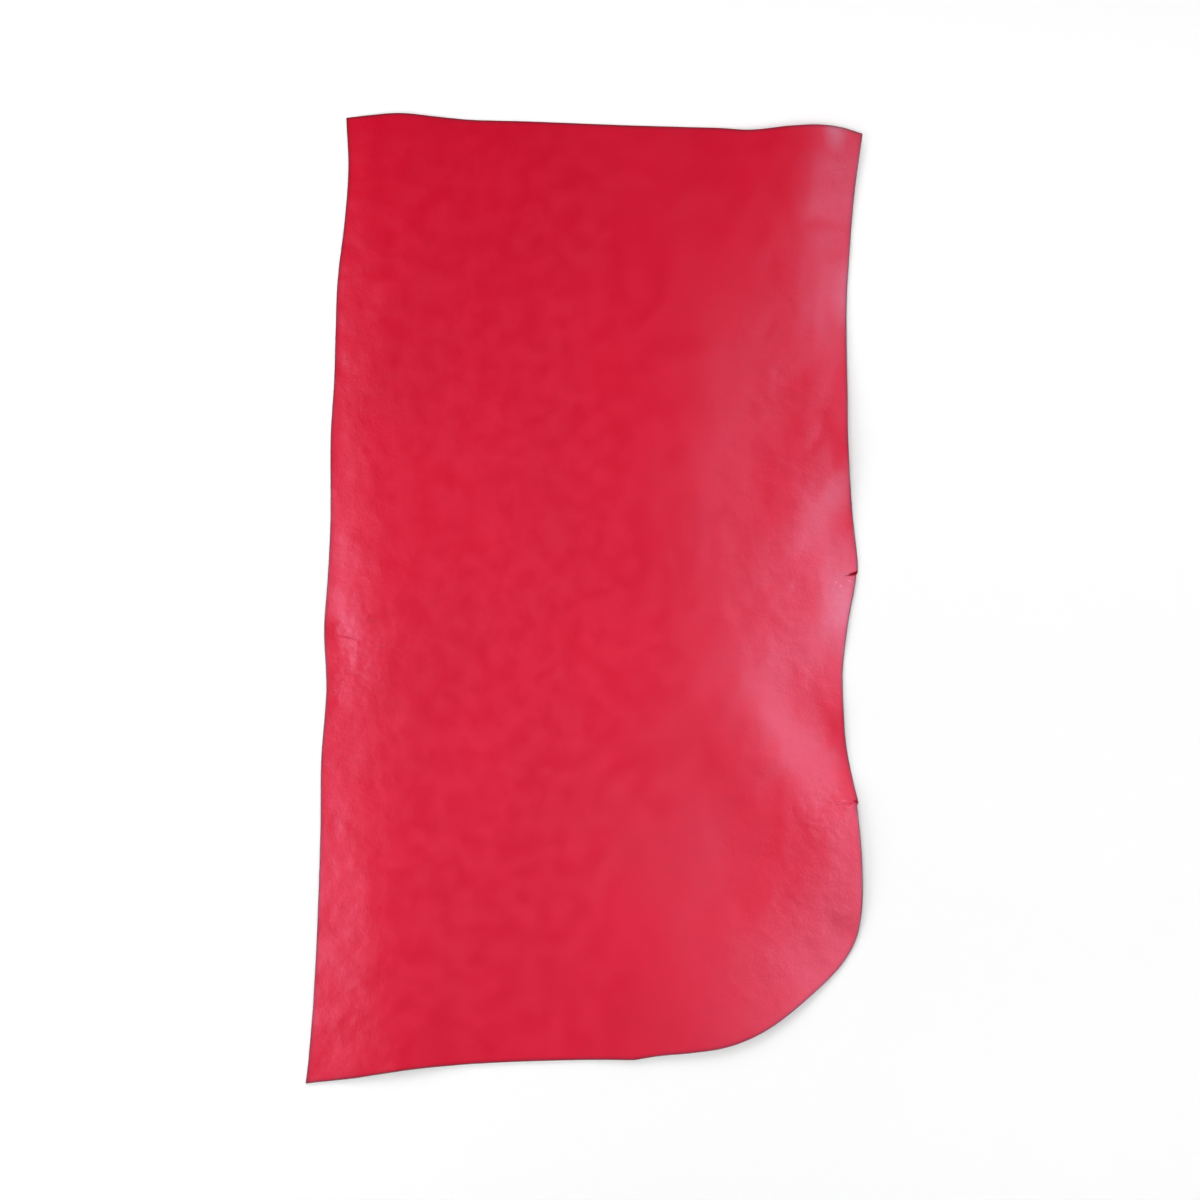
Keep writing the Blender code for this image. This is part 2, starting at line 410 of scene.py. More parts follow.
def calculate(tree, operation, *values):
    """A Math node's output."""
    node = tree.nodes.new("ShaderNodeMath")
    node.operation = operation
    for socket, value in zip(node.inputs, values):
        connect(tree, value, socket)
    return node.outputs[0]


def vector_math(tree, operation, *values):
    """A Vector Math node's output."""
    node = tree.nodes.new("ShaderNodeVectorMath")
    node.operation = operation
    for socket, value in zip(node.inputs, values):
        connect(tree, value, socket)
    return node.outputs["Value" if operation == "LENGTH" else "Vector"]


def add_node(tree, kind, **values):
    """A new node, with its inputs set by name."""
    node = tree.nodes.new(kind)
    for label, value in values.items():
        connect(tree, value, node.inputs[label])
    return node


def point_of(tree, x, y, z):
    """A point from its three coordinates."""
    return add_node(tree, "ShaderNodeCombineXYZ", X=x, Y=y, Z=z).outputs[0]


def on_axis(tree, vector, axis):
    """One coordinate of a vector: axis is X, Y or Z."""
    return add_node(tree, "ShaderNodeSeparateXYZ", Vector=vector).outputs[axis]


def is_between(tree, value, lowest, highest):
    """1 where a number lies between two others, else 0."""
    return calculate(tree, "MULTIPLY", calculate(tree, "GREATER_THAN", value, lowest),
                     calculate(tree, "LESS_THAN", value, highest))


def stretch(tree, value, low, high, new_low, new_high):
    """Maps low to high onto new_low to new_high, smoothly and without going past them."""
    node = tree.nodes.new("ShaderNodeMapRange")
    node.interpolation_type = "SMOOTHSTEP"
    for socket, number in zip(node.inputs, (value, low, high, new_low, new_high)):
        connect(tree, number, socket)
    return node.outputs[0]


def noise(tree, place, size, detail=USUAL, distortion=0.0):
    """Noise from 0 to 1 whose clouds are about size metres across."""
    return add_node(tree, "ShaderNodeTexNoise", Vector=place, Scale=1 / size, Detail=detail,
                    Distortion=distortion).outputs[0]


def new_tree(name, inputs, outputs):
    """A Geometry Nodes tree with its named sockets, and its two end nodes."""
    tree = bpy.data.node_groups.new(name, "GeometryNodeTree")
    for label, kind in inputs:
        tree.interface.new_socket(label, in_out="INPUT", socket_type="NodeSocket" + kind)
    for label, kind in outputs:
        tree.interface.new_socket(label, in_out="OUTPUT", socket_type="NodeSocket" + kind)
    return tree, tree.nodes.new("NodeGroupInput").outputs, tree.nodes.new("NodeGroupOutput").inputs


def use_group(tree, group, **values):
    """A node that uses another tree, with its inputs set by name."""
    node = tree.nodes.new("GeometryNodeGroup")
    node.node_tree = group
    for label, value in values.items():
        connect(tree, value, node.inputs[label])
    return node.outputs


# %% [markdown]
# ## One swell as a node group
#
# The group asks how far a place is from the crest, along it and across it, as shares of the
# swell's reach. Where both together reach 1 the swell ends. Inside, the height falls off as a
# squared cosine, which is level on the crest and runs out level too, so swells blend with no
# visible rim.

# %% Node group: places on a feature's own axes
FEATURE_INPUTS = (
    ("Place", "Vector"), ("Middle", "Vector"), ("Turn", "Float"), ("Along", "Float"),
    ("Front", "Float"), ("Behind", "Float"), ("Height", "Float"),
)


def shares_of_reach(tree, inputs):
    """Places along and across a feature, as shares of its reach each way."""
    from_middle = vector_math(tree, "SUBTRACT", inputs["Place"], inputs["Middle"])
    rotate = add_node(tree, "ShaderNodeVectorRotate", Vector=from_middle, Angle=inputs["Turn"])
    rotate.rotation_type = "Z_AXIS"
    rotate.invert = True
    along = on_axis(tree, rotate.outputs[0], "X")
    across = on_axis(tree, rotate.outputs[0], "Y")
    reach = tree.nodes.new("GeometryNodeSwitch")
    reach.input_type = "FLOAT"
    connect(tree, calculate(tree, "LESS_THAN", across, 0.0), reach.inputs["Switch"])
    connect(tree, inputs["Behind"], reach.inputs["False"])
    connect(tree, inputs["Front"], reach.inputs["True"])
    return (calculate(tree, "DIVIDE", along, inputs["Along"]),
            calculate(tree, "DIVIDE", across, reach.outputs[0]))


def swell_group():
    """A mound or hollow: height times the squared cosine of the distance from its crest."""
    tree, inputs, outputs = new_tree("swell", FEATURE_INPUTS, (("Rise", "Float"),))
    along, across = shares_of_reach(tree, inputs)
    distance = vector_math(tree, "LENGTH", point_of(tree, along, across, 0.0))
    angle = calculate(tree, "MULTIPLY", calculate(tree, "MINIMUM", distance, 1.0), math.pi / 2)
    fall = calculate(tree, "POWER", calculate(tree, "COSINE", angle), 2.0)
    connect(tree, calculate(tree, "MULTIPLY", fall, inputs["Height"]), outputs["Rise"])
    return tree


SWELL = swell_group()
print("node group:", SWELL.name, "with", len(SWELL.nodes), "nodes")

# %% [markdown]
# ## The two pinches
#
# Where the belly was pulled in, the edge is nipped to a short sharp crease between two lips. A
# swell is too soft for it, so the crease gets a node group of its own, with straight flanks that
# meet in a V. Its middle lies close to the cut edge, so it is deepest there and fades inward.

# %% Node group: a sharp crease
Crease = namedtuple("Crease", Swell._fields)
CREASES = (
    Crease("first pinch", 384, 36, 18, 4, 4, 17, -0.7),
    Crease("second pinch", 385, -284, 14, 4, 4, 4, -0.7),
)


def crease_group():
    """A V-shaped groove that fades out along its length."""
    tree, inputs, outputs = new_tree("sharp crease", FEATURE_INPUTS, (("Rise", "Float"),))
    along, across = shares_of_reach(tree, inputs)
    length_share = calculate(tree, "MINIMUM", calculate(tree, "ABSOLUTE", along), 1.0)
    fade = calculate(tree, "COSINE", calculate(tree, "MULTIPLY", length_share, math.pi / 2))
    flank = calculate(tree, "SUBTRACT", 1.0, calculate(tree, "ABSOLUTE", across))
    shape = calculate(tree, "MULTIPLY", fade, calculate(tree, "MAXIMUM", flank, 0.0))
    connect(tree, calculate(tree, "MULTIPLY", shape, inputs["Height"]), outputs["Rise"])
    return tree


SHARP_CREASE = crease_group()
print("node group:", SHARP_CREASE.name, "with", len(SHARP_CREASE.nodes), "nodes")

# %% [markdown]
# ## Wrinkles in the grain alone
#
# Close to the pinches the grain face is folded into a short dark notch, up to 2 mm deep, and
# gathered into a fan of fine crinkles. By the back edge it has a few growth wrinkles that the
# animal had in life, a few tenths of a millimetre deep. None of them reaches the flesh side, so
# they are narrow swells, hollows and creases that only the grain face follows.

# %% The table of fine wrinkles
NOTCHES = (
    Crease("notch of the first pinch", 382, 36.5, 16, 3.4, 2.6, 15, -2.2),
    Crease("its thin end", 367, 32, 9, 1.4, 1.2, 10, -0.5),
    Crease("notch of the second pinch", 380, -283, 7, 2.2, 2.2, -10, -1.7),
    Crease("thin line of the second pinch", 366, -286, 22, 1.5, 1.5, 7, -0.3),
    Crease("its bent end", 350, -286, 8, 1.5, 1.5, -28, -0.14),
)
WRINKLES = (
    Swell("crinkle beside the first notch", 350, 22, 4, 2, 2, 30, 0.3),
    Swell("crinkle, brightest", 356, 17, 4.5, 2.2, 2.2, 50, 0.36),
    Swell("crinkle, upper", 351, 34, 6, 2.4, 2.4, 100, 0.2),
    Swell("crinkle, outer", 345, 38, 6, 2.4, 2.4, 80, -0.12),
    Swell("crinkle by the edge", 369, 24.5, 7, 1.9, 1.9, -15, 0.3),
    Swell("crinkle by the edge, lower", 375, 19, 5, 2, 2, 60, 0.18),
    Swell("hollow between the crinkles", 364, 19, 8, 1.7, 1.7, 35, -0.15),
    Swell("hollow between, lower", 349, 13, 7, 2, 2, 60, -0.12),
    Swell("ridge below the thin line", 367, -290.5, 9, 1.7, 1.7, 12, 0.28),
    Swell("ridge above the thin line", 360, -282, 9, 1.7, 1.7, 5, 0.28),
    Swell("ridge at the second notch", 372, -288, 4, 1.7, 1.7, 30, 0.25),
    Swell("ridge at the bent end", 341, -281, 7, 2, 2, -30, 0.18),
    Swell("speckle above", 320, -264, 5, 2.5, 2.5, 120, -0.14),
    Swell("speckle beside it", 328, -261, 4, 2.5, 2.5, 60, 0.2),
    Swell("speckle inside", 316, -274, 5, 2.5, 2.5, 20, -0.12),
    Swell("speckle between", 324, -270, 4, 2.2, 2.2, 40, 0.2),
    Swell("speckle below", 351, -310, 4.5, 2.2, 2.2, 60, -0.14),
    Swell("speckle by the edge", 362, -308, 4, 2, 2, 100, 0.2),
    Swell("speckle lower down", 358, -315, 4.5, 2.2, 2.2, 140, -0.14),
    Swell("speckle lowest", 355, -322, 4, 2, 2, 30, -0.13),
    Swell("speckle farther in", 345, -317, 4.5, 2.2, 2.2, 90, -0.12),
    Swell("growth wrinkle, main", -328, -54, 24, 2.4, 2.4, -11, -0.3),
    Swell("its upper lip", -333, -42, 18, 7, 7, -13, 0.15),
    Swell("its lower lip", -327, -62, 18, 6, 8, -13, 0.14),
    Swell("growth wrinkle, upper", -296, -32, 25, 3.4, 3.4, 0, -0.2),
    Swell("ridge between the two", -306, -46, 14, 6, 6, -20, 0.14),
    Swell("growth wrinkle, lower", -280, -67, 25, 3.2, 3.2, -3, -0.17),
    Swell("streak below them", -321, -86, 36, 14, 16, -86, 0.14),
    Swell("short mark, head end", -301, 259, 11, 1.8, 1.8, -8, -0.2),
    Swell("short mark, butt end", -320, -536, 9, 1.8, 1.8, 0, -0.2),
    Swell("long mark, butt end", -274, -540, 13, 2, 2, -75, -0.15),
)
print("swells:", len(SWELLS) + len(SMALL_SWELLS), "creases:", len(CREASES),
      "fine wrinkles and notches:", len(WRINKLES) + len(NOTCHES))

# %% Node groups: the sum of a table of features


def total_rise(tree, start, kinds_and_rows, place):
    """Adds up the rise of every row's feature at a place."""
    total = start
    for group, rows in kinds_and_rows:
        for row in rows:
            rise = use_group(
                tree, group, Place=place, Middle=(row.x * MM, row.y * MM, 0.0),
                Turn=math.radians(row.turn), Along=row.along * MM, Front=row.front * MM,
                Behind=row.behind * MM, Height=row.height * MM,
            )["Rise"]
            total = calculate(tree, "ADD", total, rise)
    return total


def underside_group():
    """How high the underside stands above the table at a place, never below it."""
    tree, inputs, outputs = new_tree(
        "underside height", (("Place", "Vector"), ("Settling", "Float")), (("Rise", "Float"),)
    )
    lowered = calculate(tree, "MULTIPLY", inputs["Settling"], -1.0)
    total = total_rise(
        tree, lowered, ((SWELL, SWELLS + SMALL_SWELLS), (SHARP_CREASE, CREASES)),
        inputs["Place"]
    )
    on_table = calculate(tree, "SMOOTH_MAX", total, 0.0, inputs["Settling"])
    connect(tree, on_table, outputs["Rise"])
    return tree


def wrinkle_group():
    """How much the grain face rises or sinks in its fine wrinkles."""
    tree, inputs, outputs = new_tree(
        "grain wrinkles", (("Place", "Vector"),), (("Rise", "Float"),)
    )
    kinds = ((SWELL, WRINKLES), (SHARP_CREASE, NOTCHES))
    connect(tree, total_rise(tree, 0.0, kinds, inputs["Place"]), outputs["Rise"])
    return tree


UNDERSIDE = underside_group()
GRAIN_WRINKLES = wrinkle_group()
print("nodes that add up the swells:", len(UNDERSIDE.nodes),
      "and the wrinkles:", len(GRAIN_WRINKLES.nodes))

# %% [markdown]
# ## An uneven skin
#
# Skin isn't equally dense. Along the back it is tight and smooth, and towards the belly it gets
# looser, so its surface wavers there by up to half a millimetre. The eye misses that, but the
# sheen doesn't: it breaks up into soft patches. Two noises, one 45 mm and one 14 mm across, raise
# and lower the grain face, more towards both sides than in the middle.

# %% Node group: the skin's unevenness
PATCH_SIZES = ((45 * MM, 2.2 * MM), (14 * MM, 0.8 * MM))    # size and height of each noise
TIGHT_HALF_WIDTH, LOOSE_HALF_WIDTH = 0.12, 0.36
TIGHT_SHARE = 0.4       # how uneven the middle is, as a share of the sides


def looseness(tree, place):
    """From TIGHT_SHARE in the middle of the hide to 1 along its back and belly edges."""
    from_middle = calculate(tree, "ABSOLUTE", on_axis(tree, place, "X"))
    return stretch(tree, from_middle, TIGHT_HALF_WIDTH, LOOSE_HALF_WIDTH, TIGHT_SHARE, 1.0)


def unevenness_group():
    """How far the grain face wavers up and down at a place."""
    tree, inputs, outputs = new_tree(
        "skin unevenness", (("Place", "Vector"),), (("Rise", "Float"),)
    )
    total = 0.0
    for size, height in PATCH_SIZES:
        centred = calculate(tree, "SUBTRACT", noise(tree, inputs["Place"], size, PLAIN), 0.5)
        total = calculate(tree, "MULTIPLY_ADD", centred, height, total)
    share = looseness(tree, inputs["Place"])
    connect(tree, calculate(tree, "MULTIPLY", total, share), outputs["Rise"])
    return tree


UNEVENNESS = unevenness_group()
print("noises in the skin:", len(PATCH_SIZES))

# %% [markdown]
# ## Lay the sheet on its swells
#
# Every point of the flat sheet rises to the underside's height, and then moves along the slope's
# own normal by its level in the thickness. That keeps the leather equally thick on a slope, where
# lifting it straight up would thin it. The slope is measured the simple way: the height a little
# to the left and right, and a little up and down. The tree's last nodes give each face its finish.

# %% Which finish each level of the thickness gets
# Each finish with the levels that it lies between. A later row wins over an earlier one.
FACE_LEVELS = ((CUT_EDGE, 0.0, 1.0), (GRAIN_SIDE, 0.93, 1.1), (FLESH_SIDE, -0.1, 0.03))
FOLD_DEPTH = 0.7 * MM   # a notch deeper than this is folded on itself

# %% The tree that lays the hide


def stored_number(tree, name):
    """A Named Attribute node that reads a number stored on the mesh."""
    node = add_node(tree, "GeometryNodeInputNamedAttribute", Name=name)
    node.data_type = "FLOAT"
    return node.outputs["Attribute"]


def difference(tree, place, step, settling):
    """How much higher the underside is one step ahead of a place than one step behind it."""
    ahead = vector_math(tree, "ADD", place, step)
    back = vector_math(tree, "SUBTRACT", place, step)
    heights = [
        use_group(tree, UNDERSIDE, Place=spot, Settling=settling)["Rise"] for spot in (ahead, back)
    ]
    return calculate(tree, "SUBTRACT", *heights)


def slope_normal(tree, place, step, settling):
    """The underside's normal at a place, from its heights one step to each side."""
    rise_x = difference(tree, place, point_of(tree, step, 0.0, 0.0), settling)
    rise_y = difference(tree, place, point_of(tree, 0.0, step, 0.0), settling)
    return vector_math(tree, "NORMALIZE", point_of(
        tree, calculate(tree, "MULTIPLY", rise_x, -1.0), calculate(tree, "MULTIPLY", rise_y, -1.0),
        calculate(tree, "MULTIPLY", step, 2.0),
    ))


def set_finishes(tree, geometry, level):
    """Gives each face the finish of its level in the thickness, and the notches their own."""
    choices = [(material, is_between(tree, level, lowest, highest))
               for material, lowest, highest in FACE_LEVELS]
    rise = stored_number(tree, "wrinkle_rise")
    choices.append((FOLDED_GRAIN, calculate(tree, "LESS_THAN", rise, -FOLD_DEPTH)))
    for material, chosen in choices:
        geometry = add_node(tree, "GeometryNodeSetMaterial", Geometry=geometry, Selection=chosen,
                            Material=material).outputs[0]
    return geometry


def laid_hide_tree():
    """From the flat sheet to the laid hide."""
    tree, inputs, outputs = new_tree(
        "laid hide",
        (("Geometry", "Geometry"), ("Thickness", "Float"), ("Settling", "Float"),
         ("Slope step", "Float")),
        (("Geometry", "Geometry"),),
    )
    place = tree.nodes.new("GeometryNodeInputPosition").outputs[0]
    level = stored_number(tree, "level")
    normal = slope_normal(tree, place, inputs["Slope step"], inputs["Settling"])
    wrinkles = use_group(tree, GRAIN_WRINKLES, Place=place)["Rise"]
    wavering = use_group(tree, UNEVENNESS, Place=place)["Rise"]
    grain_height = calculate(tree, "ADD", calculate(tree, "ADD", wrinkles, wavering),
                             inputs["Thickness"])
    own_height = calculate(tree, "MULTIPLY", grain_height, level)
    through = vector_math(tree, "MULTIPLY", normal,
                          point_of(tree, own_height, own_height, own_height))
    underside = use_group(tree, UNDERSIDE, Place=place, Settling=inputs["Settling"])["Rise"]
    remember = add_node(
        tree, "GeometryNodeStoreNamedAttribute", Geometry=inputs["Geometry"], Name="wrinkle_rise",
        Value=calculate(tree, "MULTIPLY", wrinkles, level),
    )
    remember.data_type = "FLOAT"
    remember.domain = "POINT"
    offset = vector_math(tree, "ADD", through, point_of(tree, 0.0, 0.0, underside))
    laid = add_node(tree, "GeometryNodeSetPosition", Geometry=remember.outputs[0], Offset=offset)
    smooth = add_node(tree, "GeometryNodeSetShadeSmooth", Geometry=laid.outputs[0])
    real = add_node(tree, "GeometryNodeRealizeInstances", Geometry=smooth.outputs[0])
    connect(tree, set_finishes(tree, real.outputs[0], level), outputs["Geometry"])
    return tree


# %% From a tree to a plain mesh
SLOPE_STEP = 0.5 * MM   # how far to each side the slope is measured


def made_by(tree, name, start_mesh, **sizes):
    """An object whose plain mesh is what the tree makes of start_mesh."""
    maker = bpy.data.objects.new(name, start_mesh)
    bpy.context.scene.collection.objects.link(maker)
    modifier = maker.modifiers.new(name, "NODES")
    modifier.node_group = tree
    for item in tree.interface.items_tree:
        if item.in_out == "INPUT" and item.name in sizes:
            modifier[item.identifier] = sizes[item.name]
    seen = maker.evaluated_get(bpy.context.evaluated_depsgraph_get())
    mesh = bpy.data.meshes.new_from_object(seen)
    maker.modifiers.remove(modifier)
    maker.data = mesh
    mesh.name = name
    return maker


hide = made_by(
    laid_hide_tree(), "laid_hide", flat_mesh,
    **{"Thickness": LEATHER_THICKNESS, "Settling": SETTLING, "Slope step": SLOPE_STEP},
)
corners = np.array([corner.co for corner in hide.data.vertices])
middle = (corners.max(axis=0) + corners.min(axis=0)) / 2
hide.data.transform(Matrix.Translation((-middle[0], -middle[1], 0.0)))
print("moved to the middle by, mm:", (-1000 * middle[:2]).round(2))
print("grain, edge and flesh faces:", len(hide.data.polygons), "highest point, mm:",
      round(1000 * corners[:, 2].max(), 1))

# %% [markdown]
# ## The grain side's finish
#
# The dye has soaked right through, and the smooth side was only lightly polished, so it is a
# strong red with a broad pink sheen. Painting the sheen into the colour would freeze it in place.
# Most of it comes from the shader: a fairly rough surface whose reflection is tinted. The colour
# itself is never even. It drifts a little in broad clouds where the skin took the dye
# differently, and it is darker in the pores. Light and shade are painted into it too: painted
# shade darkens the wrinkles' hollows, painted highlights make their crests paler pink, and a few
# places get painted sheen. Towards the cut edge it darkens, to a thin maroon line at the rim.

# %% Helpers for the shaders
NOISE_BAND = (0.3, 0.7)     # nearly all of a noise's values lie between these two


def fresh_shader(material):
    """The material's tree, its Principled shader and the place on the piece."""
    material.use_nodes = True
    tree = material.node_tree
    place = tree.nodes.new("ShaderNodeTexCoord").outputs["Object"]
    return tree, tree.nodes["Principled BSDF"].inputs, place


def drift(tree, clouds, low, high):
    """Spreads a noise's usual values from low to high."""
    return stretch(tree, clouds, *NOISE_BAND, low, high)


def cells(tree, place, size):
    """Distance from the middle of the nearest cell, for cells about size metres across."""
    node = add_node(tree, "ShaderNodeTexVoronoi", Vector=place, Scale=1 / size)
    return node.outputs["Distance"]


def blend(tree, share, first, second, mode="MIX"):
    """A colour mixed from two by share."""
    node = tree.nodes.new("ShaderNodeMix")
    node.data_type = "RGBA"
    node.blend_type = mode
    connect(tree, share, node.inputs["Factor"])
    connect(tree, first, node.inputs["A"])
    connect(tree, second, node.inputs["B"])
    return node.outputs["Result"]


def mesh_number(tree, name):
    """A number stored on the mesh, for a shader."""
    node = tree.nodes.new("ShaderNodeAttribute")
    node.attribute_name = name
    return node.outputs["Fac"]


def bump(tree, height, depth, under=None):
    """A normal from a height of 0 to 1, which stands for depth metres, over another normal."""
    node = add_node(tree, "ShaderNodeBump", Distance=depth, Height=height)
    if under is not None:
        connect(tree, under, node.inputs["Normal"])
    return node.outputs[0]


# %% [markdown]
# ## Painted sheen
#
# Beside the first pinch, on the gathered leather, and along the head end of the belly edge, the
# sheen is brighter than the lamps make it. So sheen is painted into the colour there: a few soft
# ellipses, each taking the dyed red some way towards pink.

# %% Where sheen is painted into the colour
PAINTED_SHEEN_PINK = (0.64, 0.16, 0.24, 1.0)
PAINTED_SHEEN_CORE = 0.1         # share of an ellipse's reach that gets the full painted sheen

# Middle and reach in millimetres, and how far painted sheen takes the colour towards pink there.
PaledPlace = namedtuple("PaledPlace", "place x y reach_x reach_y share")
PAINTED_SHEEN_PLACES = (
    PaledPlace("below the first pinch", 363, -2, 48, 100, 0.5),
    PaledPlace("above the first pinch", 356, 146, 30, 38, 0.2),
    PaledPlace("belly edge, head end", 373, 417, 39, 64, 0.4),
    PaledPlace("belly corner, head end", 350, 653, 22, 42, 0.62),
)


def painted_sheen(tree, place):
    """How far painted sheen takes the red towards pink at a place."""
    total = 0.0
    for row in PAINTED_SHEEN_PLACES:
        away = vector_math(tree, "SUBTRACT", place, (row.x * MM, row.y * MM, 0.0))
        away = vector_math(tree, "DIVIDE", away, (row.reach_x * MM, row.reach_y * MM, 1.0))
        share = stretch(tree, vector_math(tree, "LENGTH", away), PAINTED_SHEEN_CORE, 1.0, row.share, 0.0)
        total = calculate(tree, "ADD", total, share)
    return total


print("pale places:", len(PAINTED_SHEEN_PLACES))

# %% Grain side: colours and sizes
DYED_RED = (0.632, 0.001, 0.020, 1.0)
# EDGE_MAROON is also the painted shade in the wrinkles' hollows.
EDGE_MAROON = (0.17, 0.006, 0.016, 1.0)
CREST_HIGHLIGHT_PINK = (0.80, 0.10, 0.16, 1.0)
CREST_HIGHLIGHT_PALE_PINK = (0.92, 0.36, 0.46, 1.0)     # a crest's painted highlight where sheen is painted too
CLOUD_SIZE, CLOUD_SHADE = 220 * MM, 0.955   # and how dark the darkest cloud is
PATCH_SIZE, PATCH_SHADE = 30 * MM, 0.017    # and how much a patch is darker or lighter
PORE_SIZE, PORE_DEPTH, PORE_SHADE = 0.9 * MM, 0.035 * MM, 0.92
PORE_BAND = (0.05, 0.35)                # from a pore's bottom to its rim, in cells
PEBBLE_SIZE, PEBBLE_DEPTH = 3.2 * MM, 0.22 * MM
PUCKER_SIZE, PUCKER_DEPTH = 9 * MM, 0.24 * MM
PAINTED_SHEEN_MOTTLE = (0.9, 1.1)                # the puckers vary the painted sheen by this much
HOLLOW_SHOWS = (0.05 * MM, 0.4 * MM)    # from where to where a hollow's depth paints shade into the colour
CREST_SHOWS = (0.10 * MM, 0.28 * MM)    # and where a crest's height paints a paler highlight on it
HOLLOW_SHARE, CREST_SHARE = 0.6, 0.7    # how far the deepest and the highest go
EDGE_DARKENING_BAND, EDGE_DARKENING_SHARE = (1.2 * MM, 7 * MM), 0.35  # a faint maroon along the cut edge
RIM_BAND = (0.9 * MM, 2.4 * MM)         # the thin maroon line
GRAIN_ROUGHNESS, HOLLOW_DULLNESS = (0.365, 0.43), 0.3
GRAIN_GLOSS, GRAIN_GLOSS_TINT = 0.855, (1.0, 0.65, 1.0, 1.0)

# %% Grain side: dye, pores and sheen


def grain_colour_with_painted_light(tree, place, patches, puckers, pores):
    """The dye's colour with painted shade, highlights and sheen, darker towards the cut edge."""
    rise = mesh_number(tree, "wrinkle_rise")
    hollow = stretch(tree, rise, -HOLLOW_SHOWS[1], -HOLLOW_SHOWS[0], 1.0, 0.0)
    crest = stretch(tree, rise, *CREST_SHOWS, 0.0, 1.0)
    clouds = noise(tree, place, CLOUD_SIZE)
    shade = calculate(tree, "ADD", drift(tree, clouds, CLOUD_SHADE, 1.0),
                      drift(tree, patches, -PATCH_SHADE, PATCH_SHADE))
    shade = calculate(tree, "MULTIPLY", shade, stretch(tree, pores, 0.0, 1.0, PORE_SHADE, 1.0))
    grain_colour = blend(tree, 1.0, DYED_RED, point_of(tree, shade, shade, shade), "MULTIPLY")
    # Painted sheen: pale pink painted into the colour where the sheen should be brighter.
    painted_sheen_share = calculate(tree, "MULTIPLY", painted_sheen(tree, place), drift(tree, puckers, *PAINTED_SHEEN_MOTTLE))
    grain_colour = blend(tree, painted_sheen_share, grain_colour, PAINTED_SHEEN_PINK)
    # Painted shade: the wrinkles' hollows are darkened towards maroon.
    grain_colour = blend(tree, calculate(tree, "MULTIPLY", hollow, HOLLOW_SHARE), grain_colour, EDGE_MAROON)
    # Painted highlight: the wrinkles' crests are made paler pink.
    crest_highlight_colour = blend(tree, painted_sheen_share, CREST_HIGHLIGHT_PINK, CREST_HIGHLIGHT_PALE_PINK)
    grain_colour = blend(tree, calculate(tree, "MULTIPLY", crest, CREST_SHARE), grain_colour, crest_highlight_colour)
    edge_distance = mesh_number(tree, "edge_distance")
    # Darker towards the cut edge, over its last few millimetres.
    edge_darkening = stretch(tree, edge_distance, *EDGE_DARKENING_BAND, EDGE_DARKENING_SHARE, 0.0)
    grain_colour = blend(tree, edge_darkening, grain_colour, EDGE_MAROON)
    rim = stretch(tree, edge_distance, *RIM_BAND, 1.0, 0.0)
    return blend(tree, rim, grain_colour, EDGE_MAROON), hollow


def finish_grain_side():
    """Red, never quite even, with a tinted gloss and three sizes of relief."""
    tree, shader, place = fresh_shader(GRAIN_SIDE)
    patches = noise(tree, place, PATCH_SIZE, FINE)
    puckers = noise(tree, place, PUCKER_SIZE)
    pebbles = noise(tree, place, PEBBLE_SIZE)
    pores = stretch(tree, cells(tree, place, PORE_SIZE), *PORE_BAND, 0.0, 1.0)
    grain_colour, hollow = grain_colour_with_painted_light(tree, place, patches, puckers, pores)
    connect(tree, grain_colour, shader["Base Color"])
    dullness = calculate(tree, "MULTIPLY_ADD", hollow, HOLLOW_DULLNESS,
                         drift(tree, patches, *GRAIN_ROUGHNESS))
    connect(tree, dullness, shader["Roughness"])
    shader["Specular IOR Level"].default_value = GRAIN_GLOSS
    shader["Specular Tint"].default_value = GRAIN_GLOSS_TINT
    loose = looseness(tree, place)
    normal = bump(tree, calculate(tree, "MULTIPLY", puckers, loose), PUCKER_DEPTH)
    normal = bump(tree, calculate(tree, "MULTIPLY", pebbles, loose), PEBBLE_DEPTH, normal)
    connect(tree, bump(tree, pores, PORE_DEPTH, normal), shader["Normal"])


finish_grain_side()
print("grain side:", len(GRAIN_SIDE.node_tree.nodes), "nodes")

# %% [markdown]
# ## Inside the notches
#
# A notch is grain folded on itself. Little light gets into the fold, and what comes out again is a
# deeper red. The notch in the mesh is wider and shallower than the real fold, so its shape alone
# can't hide the light. A finish of its own does that: nearly black at the bottom, red at the rim.

# %% Folded grain
FOLD_DARK, FOLD_RED = (0.12, 0.001, 0.006, 1.0), (0.40, 0.003, 0.015, 1.0)
FOLD_BOTTOM = 2.0 * MM
FOLD_MOTTLE_SIZE, FOLD_MOTTLE = 1.5 * MM, (0.7, 1.0)
FOLD_ROUGHNESS, FOLD_GLOSS = (0.75, 0.9), 0.05


def finish_folded_grain():
    """Dark at the bottom of a notch and red towards its rim, with hardly any gloss."""
    tree, shader, place = fresh_shader(FOLDED_GRAIN)
    rise = mesh_number(tree, "wrinkle_rise")
    lightness = stretch(tree, rise, -FOLD_BOTTOM, -FOLD_DEPTH, 0.0, 1.0)
    mottle = noise(tree, place, FOLD_MOTTLE_SIZE)
    lightness = calculate(tree, "MULTIPLY", lightness, drift(tree, mottle, *FOLD_MOTTLE))
    connect(tree, blend(tree, lightness, FOLD_DARK, FOLD_RED), shader["Base Color"])
    connect(tree, drift(tree, mottle, *FOLD_ROUGHNESS), shader["Roughness"])
    shader["Specular IOR Level"].default_value = FOLD_GLOSS


finish_folded_grain()
print("folded grain:", len(FOLDED_GRAIN.node_tree.nodes), "nodes")

